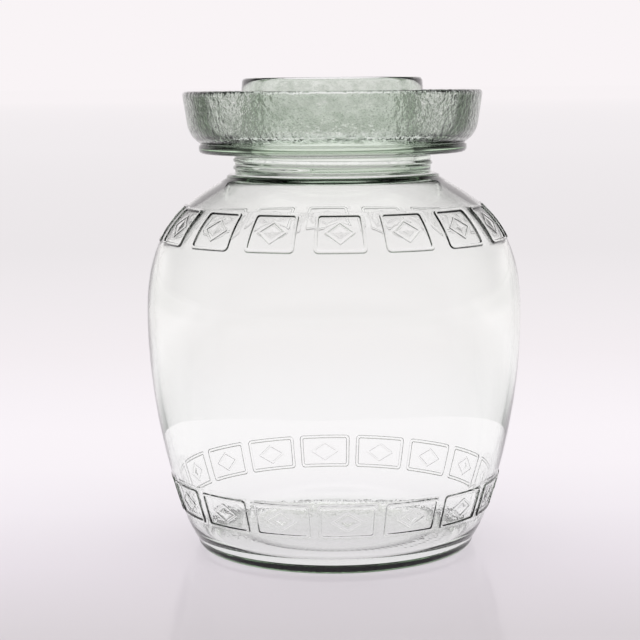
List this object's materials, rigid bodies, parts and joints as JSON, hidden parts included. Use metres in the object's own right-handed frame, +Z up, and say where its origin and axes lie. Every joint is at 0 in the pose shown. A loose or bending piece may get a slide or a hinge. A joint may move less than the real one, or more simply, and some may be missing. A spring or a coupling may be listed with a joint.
{
  "type": "water-seal pickling jar",
  "caption": "Clear glass water-seal pickling jar: a bellied body with bands of raised panels, a short neck and a collar with an open trough around the mouth.",
  "frame": {"origin": "centre of the standing ring, on the surface that the jar stands on", "axes": "+Z up along the jar's axis, -Y towards the front, +X to the right seen from the front"},
  "size_m": [0.202, 0.202, 0.2524],
  "materials": {
    "glass": "clear pressed glass with a faint green tint, fire-polished rims"
  },
  "bodies": {
    "root": {"jar": "glass"}
  },
  "joints": []
}
